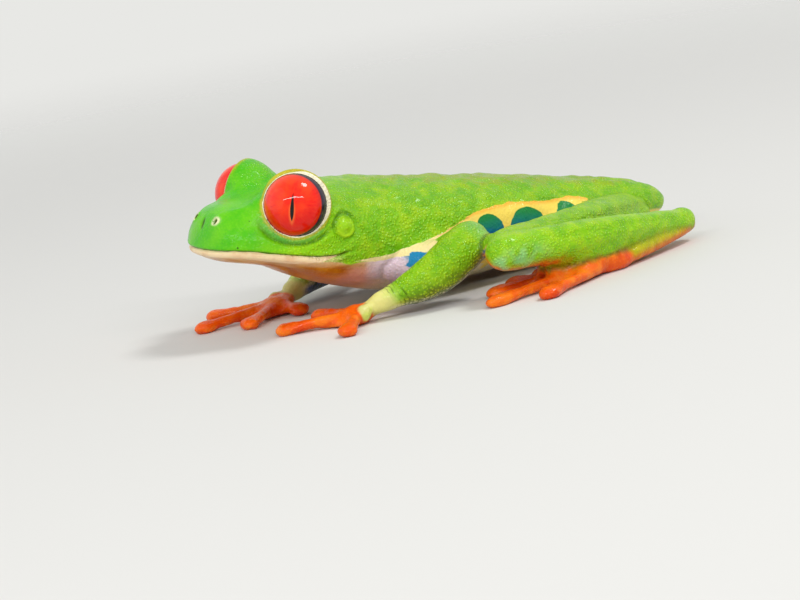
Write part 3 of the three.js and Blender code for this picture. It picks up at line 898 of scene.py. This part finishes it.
skinLook = {
    "granule": 3000, "granuleHeight": 0.00012,  # granules to the metre, and their height in metres
    "wobble": 900, "patchy": 420, "speck": 5200,  # three finer and coarser noises, to the metre
    "roughness": 0.42, "shine": 0.1, "coat": 0.5, "coatRoughness": 0.12, "coatIor": 1.33,
    "glow": 0.1, "glowRadius": (0.6, 0.6, 0.25), "glowScale": 0.0008,
    "darkTint": (0.6, 0.72, 0.5, 1), "lightTint": (0.9, 1.0, 0.03, 1),
    "creases": 34.0, "creasesAt": 0.79,  # to a forearm's length, and where their middle is
    "dots": [  # the place and radius of each dark dot, mm
        (2.63, 5.72, 0.55, 0.13), (13.62, 7.73, 3.92, 0.1), (4.14, 5.21, 3.48, 0.07),
        (1.63, 2.52, 3.58, 0.1)],
}


def skinMaterial():
    material, tree, shader = newMaterial("moist skin")
    place = addNode(tree, "TexCoord").outputs["Object"]
    wobble = noiseOf(tree, place, skinLook["wobble"], 3.0)
    drift = times(tree, minus(tree, wobble, 0.5), 0.45)
    grain = attributeOf(tree, "grain")
    cells = addNode(tree, "TexVoronoi", {"Vector": place, "Scale": skinLook["granule"], "Randomness": 0.9})
    bead = stepOf(tree, cells.outputs["Distance"], 0.7, 0.05)
    patchy = noiseOf(tree, place, skinLook["patchy"], 4.0)
    speck = noiseOf(tree, place, skinLook["speck"], 2.0)

    base = attributeOf(tree, "paint", "Color")
    dark = mixOf(tree, 1.0, base, skinLook["darkTint"], "MULTIPLY")
    light = mixOf(tree, 0.16, base, skinLook["lightTint"])
    darker, lighter = mixOf(tree, 0.35, base, dark), mixOf(tree, 0.5, base, light)
    varied = mixOf(tree, stepOf(tree, patchy, 0.35, 0.65), darker, lighter)
    beaded = mixOf(tree, bead, dark, light)
    base = mixOf(tree, times(tree, grain, 0.6), varied, beaded)
    stipple = attributeOf(tree, "stipple")
    gaps = times(tree, minus(tree, 1.0, bead), stipple)
    base = mixOf(tree, times(tree, gaps, 0.8), base, rgba(paints["stipple"]))

    wrist = attributeOf(tree, "wrist")  # fine creases where the green of the arm ends
    phase = plus(tree, times(tree, wrist, skinLook["creases"]), times(tree, drift, 4.0))
    between = mathOf(tree, "ABSOLUTE", minus(tree, mathOf(tree, "FRACT", phase), 0.5))
    zone = mathOf(tree, "ABSOLUTE", minus(tree, wrist, skinLook["creasesAt"]))
    zone = stepOf(tree, zone, 0.09, 0.03)
    zone = times(tree, zone, stepOf(tree, patchy, 0.38, 0.6))
    # the creases are dented in the bump and darkened with painted shade
    crease = times(tree, stepOf(tree, between, 0.16, 0.02), zone)
    base = mixOf(tree, times(tree, crease, 0.6), base, rgba(paints["stipple"]))

    for name, paintName, soft in (("stripe", "yellowPaint", 0.06), ("patch", "bluePaint", 0.05)):
        edge = plus(tree, attributeOf(tree, name), drift)
        mask = stepOf(tree, edge, -soft, soft)
        base = mixOf(tree, mask, base, attributeOf(tree, paintName, "Color"))
    small = times(tree, drift, 0.4)
    lip = stepOf(tree, plus(tree, attributeOf(tree, "lip"), small), -0.03, 0.06)
    lipTone = mixOf(tree, stepOf(tree, patchy, 0.45, 0.7), rgba(paints["lip"]), rgba(paints["lipDark"]))
    base = mixOf(tree, lip, base, lipTone)
    lid = stepOf(tree, plus(tree, attributeOf(tree, "lid"), small), -0.02, 0.05)
    base = mixOf(tree, lid, base, rgba(paints["lid"]))
    for *spot, radius in skinLook["dots"]:
        there = addNode(tree, "VectorMath", {0: place, 1: frameFromBody @ Vector(spot)}, operation="DISTANCE")
        mask = stepOf(tree, there.outputs["Value"], radius * 1.3 * mm, radius * 0.8 * mm)
        base = mixOf(tree, times(tree, mask, 0.85), base, rgba(paints["dot"]))
    tree.links.new(base, shader.inputs["Base Color"])

    height = times(tree, bead, grain)
    height = plus(tree, height, times(tree, speck, 0.18))
    height = minus(tree, height, times(tree, crease, 0.6))
    bump = addNode(tree, "Bump", {"Height": height, "Distance": skinLook["granuleHeight"], "Strength": 1.0})
    tree.links.new(bump.outputs["Normal"], shader.inputs["Normal"])
    tree.links.new(bump.outputs["Normal"], shader.inputs["Coat Normal"])
    rough = stepOf(tree, patchy, 0.2, 0.8)
    rough = plus(tree, times(tree, rough, 0.16), skinLook["roughness"] - 0.08)
    tree.links.new(rough, shader.inputs["Roughness"])
    setGloss(shader, skinLook)
    return material


def makeSkin():
    mesh, trees = skinMesh()
    paintSkin(mesh, trees)
    mesh.transform(frameFromBody)
    placed = pointsOf(mesh)
    placed[:, 2] = np.maximum(placed[:, 2], 0)  # flat soles, on the floor
    setPoints(mesh, placed)
    mesh.polygons.foreach_set("use_smooth", [True] * len(mesh.polygons))
    mesh.materials.clear()
    mesh.materials.append(skinMaterial())
    mesh.name = "skin"
    skin = linked("skin", mesh)
    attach(skin, "root")
    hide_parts(*[name for name in nodes if not name.startswith("eye_")])
    print("skin made:", triangleCount(mesh), "triangles")


makeSkin()


# eyeballs: a red iris with an upright slit, under a wet, clear surface

irisLook = {
    "iris": 3.4,  # radius of the red disc, mm
    "shift": 0.32,  # how far its middle lies towards the snout
    "slit": (0.2, 1.6),  # half the pupil's width and height
    "fibre": 11.0, "fibreHeight": 0.00006,
    "red": "f41000", "bright": "ff3c02", "deep": "c80600", "low": "d40000", "warm": "ff9040",
    "pupil": "060001", "rim": "1e0c2a",
    "roughness": 0.5, "shine": 0.05, "coat": 1.0, "coatRoughness": 0.02, "coatIor": 1.35,
}


def eyeTurn(side):
    middle, look, ahead, up = eyeAxes(side)
    turn = Matrix((Vector(ahead) * -side, Vector(up), Vector(look))).transposed().to_4x4()
    turn.translation = Vector(middle)
    return frameFromBody @ turn


def eyeMaterial(name, side):
    material, tree, shader = newMaterial(f"eye {name}")
    back = eyeTurn(side).inverted()  # from the frame, in metres, to mm round the eye's middle
    place = addNode(tree, "TexCoord").outputs["Object"]
    turned = addNode(tree, "Mapping", {
        "Vector": place, "Location": back.to_translation(), "Rotation": back.to_euler(),
        "Scale": back.to_scale()}).outputs["Vector"]
    split = addNode(tree, "SeparateXYZ", {"Vector": turned})
    x, y = split.outputs["X"], split.outputs["Y"]
    ahead = times(tree, x, float(-side))
    fromMiddle = minus(tree, ahead, irisLook["shift"])
    radius = mathOf(tree, "SQRT", plus(tree, mathOf(tree, "POWER", fromMiddle, 2.0),
                                         mathOf(tree, "POWER", y, 2.0)))
    unit = addNode(tree, "CombineXYZ", {"X": mathOf(tree, "DIVIDE", fromMiddle, radius),
                                        "Y": mathOf(tree, "DIVIDE", y, radius),
                                        "Z": times(tree, radius, 0.12)})
    fibres = noiseOf(tree, unit.outputs["Vector"], irisLook["fibre"], 5.0, 0.65)
    clouds = noiseOf(tree, turned, 0.55, 2.0)
    tone = mixOf(tree, stepOf(tree, clouds, 0.35, 0.65), rgba(irisLook["red"]), rgba(irisLook["bright"]))
    brighter = times(tree, stepOf(tree, fibres, 0.4, 0.7), 0.45)
    tone = mixOf(tree, brighter, tone, rgba(irisLook["bright"]))
    deeper = times(tree, stepOf(tree, fibres, 0.45, 0.25), 0.5)
    tone = mixOf(tree, deeper, tone, rgba(irisLook["deep"]))
    lower = times(tree, stepOf(tree, y, 0.4, -2.6), 0.75)
    tone = mixOf(tree, lower, tone, rgba(irisLook["low"]))
    outer = times(tree, stepOf(tree, radius, 2.9, 3.4), 0.6)
    tone = mixOf(tree, outer, tone, rgba(irisLook["deep"]))
    wide, tall = irisLook["slit"]
    upward = mathOf(tree, "DIVIDE", plus(tree, y, 0.15), tall)
    narrowing = plus(tree, times(tree, upward, 0.45), 1.0)  # widest below its middle
    across = times(tree, mathOf(tree, "DIVIDE", ahead, wide), narrowing)
    slit = plus(tree, mathOf(tree, "ABSOLUTE", across), mathOf(tree, "POWER", upward, 2.0))
    glow = times(tree, stepOf(tree, slit, 2.1, 1.0), stepOf(tree, y, 0.6, -0.4))
    tone = mixOf(tree, times(tree, glow, 0.45), tone, rgba(irisLook["warm"]))
    tone = mixOf(tree, stepOf(tree, slit, 1.08, 0.92), tone, rgba(irisLook["pupil"]))
    edge = stepOf(tree, radius, irisLook["iris"] - 0.05, irisLook["iris"] + 0.06)
    tone = mixOf(tree, edge, tone, rgba(irisLook["rim"]))
    tree.links.new(tone, shader.inputs["Base Color"])
    bump = addNode(tree, "Bump", {"Height": fibres, "Distance": irisLook["fibreHeight"], "Strength": 0.5})
    tree.links.new(bump.outputs["Normal"], shader.inputs["Normal"])
    setGloss(shader, irisLook)
    return material


def eyeBall(name, side):
    made = bmesh.new()
    bmesh.ops.create_uvsphere(made, u_segments=72, v_segments=48, radius=eyeShape["radius"])
    made.transform(eyeTurn(side))
    bmesh.ops.recalc_face_normals(made, faces=made.faces)
    for face in made.faces:
        face.smooth = True
    mesh = meshFrom(made, f"eyeball_{name}")
    mesh.materials.append(eyeMaterial(name, side))
    ball = linked(f"eyeball_{name}", mesh)
    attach(ball, "root")
    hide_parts(f"eye_{name}")


for name, side in sides.items():
    eyeBall(name, side)
print("eyes made")


# floor, lights and camera

stageLook = {
    "floor": "dcdbd7", "sky": "eceef0", "backdrop": "e8e8e5", "ambient": 0.5,
    "radius": 0.8, "roughness": 0.7, "shine": 0.2,
    "fadeFrom": 0.1, "fadeTo": 0.4,  # metres from the frog where the floor fades into the backdrop
}
lamps = {  # place in metres, size, power in watts, and the height of one that isn't round
    "key": ((0.12, 0.26, 0.5), 0.15, 1.3, None),
    "strip": ((0.42, -0.26, 0.36), 0.87, 2.3, 0.045),
    "front": ((-0.16, -0.56, 0.28), 0.9, 1.0, None),
}
lampAim = (0, 0, 0.01)
cameraPlace = {  # mm and degrees
    "at": (319.26, -169.34, 60.72), "azimuth": 62.92, "elevation": 9.70, "roll": -9.56, "lens": 140.2,
}


def makeFloor():
    made = bmesh.new()
    bmesh.ops.create_circle(made, cap_ends=True, segments=96, radius=stageLook["radius"])
    mesh = meshFrom(made, "floor")
    floor = linked("floor", mesh)
    material, tree, shader = newMaterial("floor")
    shader.inputs["Base Color"].default_value = rgba(stageLook["floor"])
    setGloss(shader, stageLook)
    place = addNode(tree, "TexCoord").outputs["Object"]
    far = addNode(tree, "VectorMath", {0: place}, operation="LENGTH").outputs["Value"]
    shown = stepOf(tree, far, stageLook["fadeTo"], stageLook["fadeFrom"])
    tree.links.new(shown, shader.inputs["Alpha"])
    mesh.materials.append(material)


def makeWorld():  # a pale backdrop, and a dimmer room that lights the frog
    world = bpy.data.worlds.new("world")
    bpy.context.scene.world = world
    world.use_nodes = True
    tree = world.node_tree
    room = tree.nodes["Background"]
    room.inputs["Color"].default_value = rgba(stageLook["sky"])
    room.inputs["Strength"].default_value = stageLook["ambient"]
    backdrop = addNode(tree, "Background", {"Color": rgba(stageLook["backdrop"]), "Strength": 1.0})
    path = addNode(tree, "LightPath").outputs
    seen = mathOf(tree, "MAXIMUM", path["Is Camera Ray"], path["Is Glossy Ray"])
    seen = mathOf(tree, "MAXIMUM", seen, path["Is Transmission Ray"])
    both = addNode(tree, "MixShader", {0: seen, 1: room.outputs[0], 2: backdrop.outputs[0]})
    tree.links.new(both.outputs[0], tree.nodes["World Output"].inputs["Surface"])


def areaLight(name, place, size, power, height):
    lamp = bpy.data.lights.new(name, "AREA")
    lamp.shape = "DISK" if height is None else "RECTANGLE"
    lamp.size = size
    lamp.size_y = height or size
    lamp.energy = power
    made = linked(name, lamp)
    made.location = place
    made.rotation_euler = (Vector(lampAim) - Vector(place)).to_track_quat("-Z", "Y").to_euler()


def makeCamera():
    azimuth, elevation, roll = (math.radians(cameraPlace[k]) for k in ("azimuth", "elevation", "roll"))
    level = Vector((math.cos(azimuth), math.sin(azimuth), 0))
    back = Vector((math.sin(azimuth) * math.cos(elevation), -math.cos(azimuth) * math.cos(elevation),
                   math.sin(elevation)))
    levelUp = back.cross(level)
    right = level * math.cos(roll) + levelUp * math.sin(roll)
    up = back.cross(right)
    lens = bpy.data.cameras.new("camera")
    lens.lens = cameraPlace["lens"]
    lens.clip_start = 0.01
    made = linked("camera", lens)
    made.matrix_world = Matrix((right, up, back)).transposed().to_4x4()
    made.location = Vector(cameraPlace["at"]) * mm
    bpy.context.scene.camera = made


makeFloor()
makeWorld()
for name, settings in lamps.items():
    areaLight(name, *settings)
makeCamera()
bpy.context.scene.view_settings.view_transform = "Standard"
